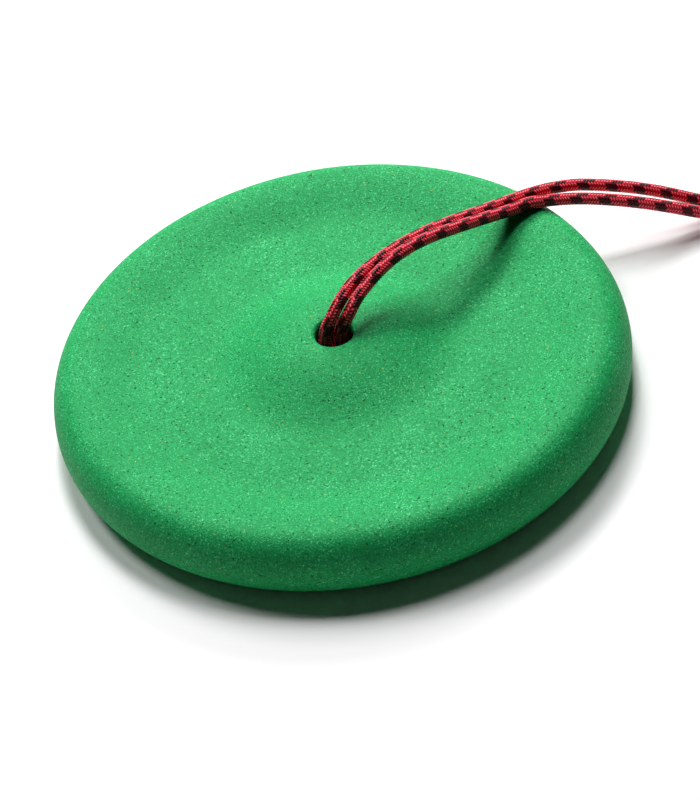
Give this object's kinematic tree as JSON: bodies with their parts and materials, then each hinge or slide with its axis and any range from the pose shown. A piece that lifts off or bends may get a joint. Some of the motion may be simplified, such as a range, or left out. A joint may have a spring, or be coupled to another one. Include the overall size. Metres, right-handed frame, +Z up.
{
  "type": "zip line trolley with disc seat",
  "caption": "Round moulded foam disc seat with a doubled braided rope through its centre, and a two-wheel cable trolley clipped to the rope's eye by a screw-lock carabiner.",
  "frame": {"origin": "centre of the seat's flat underside, on the floor", "axes": "+Z up along the seat's and the rope hole's axis, +X towards the side where the rope leaves the seat, +Y away from the trolley"},
  "size_m": [0.56, 0.3203, 0.0658],
  "materials": {
    "seat_foam": "fine-grained moulded foam, satin",
    "core_plastic": "moulded, matt",
    "red_braid": "braided polyester, red with black flecks",
    "black_twine": "waxed whipping twine",
    "black_webbing": "woven strap",
    "plated_steel": "bright zinc plated",
    "forged_steel": "zinc plated, satin",
    "dark_steel": "dark plated, knurled",
    "wheel_aluminium": "turned, satin",
    "bearing_steel": "ground and polished",
    "cage_polymer": "moulded nylon",
    "insert_nylon": "moulded nylon",
    "brass": "turned"
  },
  "bodies": {
    "rope": {"load_washer": "plated_steel", "stopper_knot": "red_braid", "rope_strand_a": "red_braid", "rope_strand_b": "red_braid", "rope_coil": "red_braid", "coil_tie": "black_webbing", "rope_eye": "red_braid", "eye_seizing": "black_twine", "eye_thimble": "plated_steel"},
    "seat": {"seat_foam": "seat_foam", "seat_core": "core_plastic"},
    "carabiner": {"carabiner_body": "forged_steel", "gate_pin": "forged_steel"},
    "gate": {"carabiner_gate": "forged_steel", "gate_plunger": "brass", "gate_spring": "bearing_steel"},
    "locking_sleeve": {"locking_sleeve": "dark_steel"},
    "trolley": {"lower_side_plate": "plated_steel", "upper_side_plate": "plated_steel", "bolts": "plated_steel", "washers": "plated_steel", "lock_nuts": "plated_steel", "nut_inserts": "insert_nylon", "hanger_sleeve": "plated_steel", "keeper_sleeve": "plated_steel", "axle_spacers": "plated_steel", "inner_races": "bearing_steel"},
    "front_wheel": {"front_wheel": "wheel_aluminium", "front_outer_races": "bearing_steel", "front_shields": "plated_steel"},
    "front_balls": {"front_balls": "bearing_steel", "front_cages": "cage_polymer"},
    "rear_wheel": {"rear_wheel": "wheel_aluminium", "rear_outer_races": "bearing_steel", "rear_shields": "plated_steel"},
    "rear_balls": {"rear_balls": "bearing_steel", "rear_cages": "cage_polymer"}
  },
  "joints": [
    {"name": "seat_spin", "type": "hinge", "parent": "rope", "child": "seat", "pos_m": [0, 0, 0.02], "axis": [0, 0, 1], "continuous": true},
    {"name": "carabiner_swing", "type": "hinge", "parent": "rope", "child": "carabiner", "pos_m": [0.329, -0.00358, 0.0179], "axis": [0, 0, 1], "range_deg": [-35, 35]},
    {"name": "gate_open", "type": "hinge", "parent": "carabiner", "child": "gate", "pos_m": [0.34319, -0.07316, 0.0179], "axis": [0, 0, 1], "range_deg": [0, 26], "stiffness_Nm_per_rad": 0.05, "springref_deg": -22.92},
    {"name": "sleeve_lock", "type": "slide", "parent": "gate", "child": "locking_sleeve", "axis": [0.1371, 0.9906, 0], "range_m": [0, 0.013]},
    {"name": "trolley_swing", "type": "hinge", "parent": "carabiner", "child": "trolley", "pos_m": [0.329, -0.07726, 0.0179], "axis": [0, 0, 1], "range_deg": [-60, 60]},
    {"name": "front_wheel_spin", "type": "hinge", "parent": "trolley", "child": "front_wheel", "pos_m": [0.289, -0.14425, 0.0225], "axis": [0, 0, 1], "continuous": true},
    {"name": "front_balls_spin", "type": "hinge", "parent": "trolley", "child": "front_balls", "pos_m": [0.289, -0.14425, 0.0225], "axis": [0, 0, 1], "continuous": true},
    {"name": "rear_wheel_spin", "type": "hinge", "parent": "trolley", "child": "rear_wheel", "pos_m": [0.369, -0.14425, 0.0225], "axis": [0, 0, 1], "continuous": true},
    {"name": "rear_balls_spin", "type": "hinge", "parent": "trolley", "child": "rear_balls", "pos_m": [0.369, -0.14425, 0.0225], "axis": [0, 0, 1], "continuous": true}
  ],
  "couplings": [
    {"joint": "front_balls_spin", "follows": "front_wheel_spin", "ratio": 0.63},
    {"joint": "rear_balls_spin", "follows": "rear_wheel_spin", "ratio": 0.63}
  ]
}
